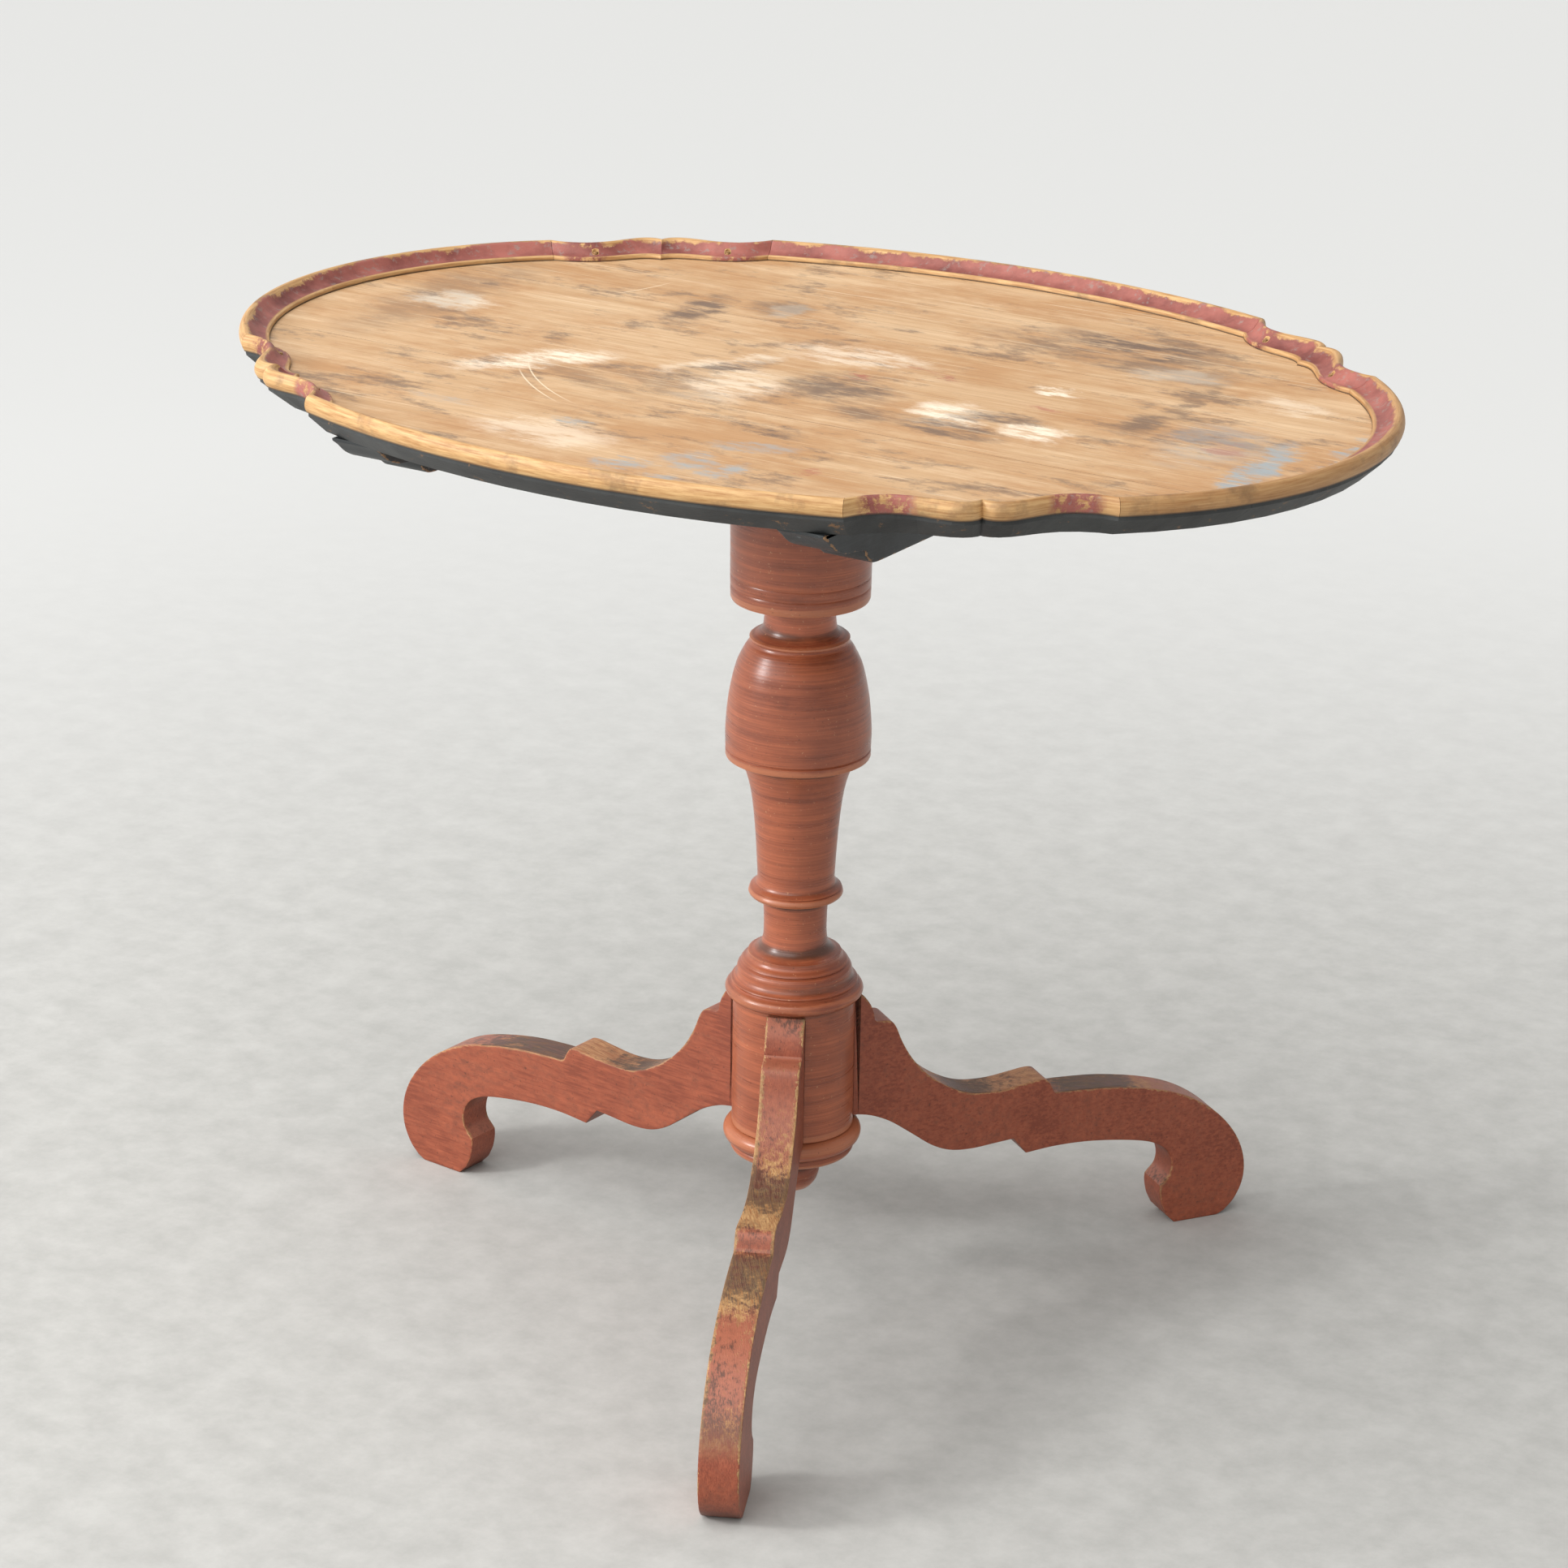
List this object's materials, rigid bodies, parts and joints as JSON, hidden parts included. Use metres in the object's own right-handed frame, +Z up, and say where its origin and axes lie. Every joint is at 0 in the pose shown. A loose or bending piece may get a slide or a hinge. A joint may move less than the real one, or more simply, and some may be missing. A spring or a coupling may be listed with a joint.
{
  "type": "tilt top table",
  "caption": "Oval tilt-top table: a moulded-rim top on battens hinges up from a crosshead on a turned pillar with scrolled sawn legs; a wooden turn button locks the top level.",
  "frame": {"origin": "on the floor, under the middle of the table's overall footprint; the pillar's axis is 10 mm behind it", "axes": "+X along the oval's long axis, +Y towards the back, +Z up; the top's hinge axis runs along X"},
  "size_m": [0.892, 0.6954, 0.74],
  "materials": {
    "red_paint": "old brick-red paint on turned and sawn wood, semi-matt, rubbed to bare wood on the edges",
    "bare_pine": "bare worn pine, dry and matt, stained and scratched",
    "rim_paint": "plum-red paint in the cove, worn to bare wood along the crest",
    "dark_paint": "blue-black paint, matt",
    "iron": "dull dark iron"
  },
  "bodies": {
    "stand": {"pillar": "red_paint", "drop_finial": "red_paint", "leg_front": "red_paint", "leg_right": "red_paint", "leg_left": "red_paint", "crosshead": "dark_paint", "tenon_wedge": "bare_pine"},
    "top": {"board_front": "bare_pine", "board_middle": "bare_pine", "board_back": "bare_pine", "rim_long_back": "rim_paint", "rim_long_front": "rim_paint", "rim_end_right": "rim_paint", "rim_end_left": "rim_paint", "rim_corner_right_back": "rim_paint", "rim_corner_right_front": "rim_paint", "rim_corner_left_front": "rim_paint", "rim_corner_left_back": "rim_paint", "rim_peg_1": "bare_pine", "rim_peg_2": "bare_pine", "rim_peg_3": "bare_pine", "rim_peg_4": "bare_pine", "rim_peg_5": "bare_pine", "rim_peg_6": "bare_pine", "rim_peg_7": "bare_pine", "rim_peg_8": "bare_pine", "batten_left": "dark_paint", "batten_right": "dark_paint", "batten_screw_1": "iron", "batten_screw_2": "iron", "batten_screw_3": "iron", "batten_screw_4": "iron", "batten_screw_5": "iron", "batten_screw_6": "iron", "pivot_dowel_left": "bare_pine", "pivot_dowel_right": "bare_pine", "button_screw": "iron"},
    "button": {"turn_button": "dark_paint"}
  },
  "joints": [
    {"name": "top_tilt", "type": "hinge", "parent": "stand", "child": "top", "pos_m": [0, -0.049, 0.695], "axis": [1, 0, 0], "range_deg": [0, 90]},
    {"name": "button_turn", "type": "hinge", "parent": "top", "child": "button", "pos_m": [0, 0.101, 0.6915], "axis": [0, 0, 1], "range_deg": [0, 90]}
  ]
}
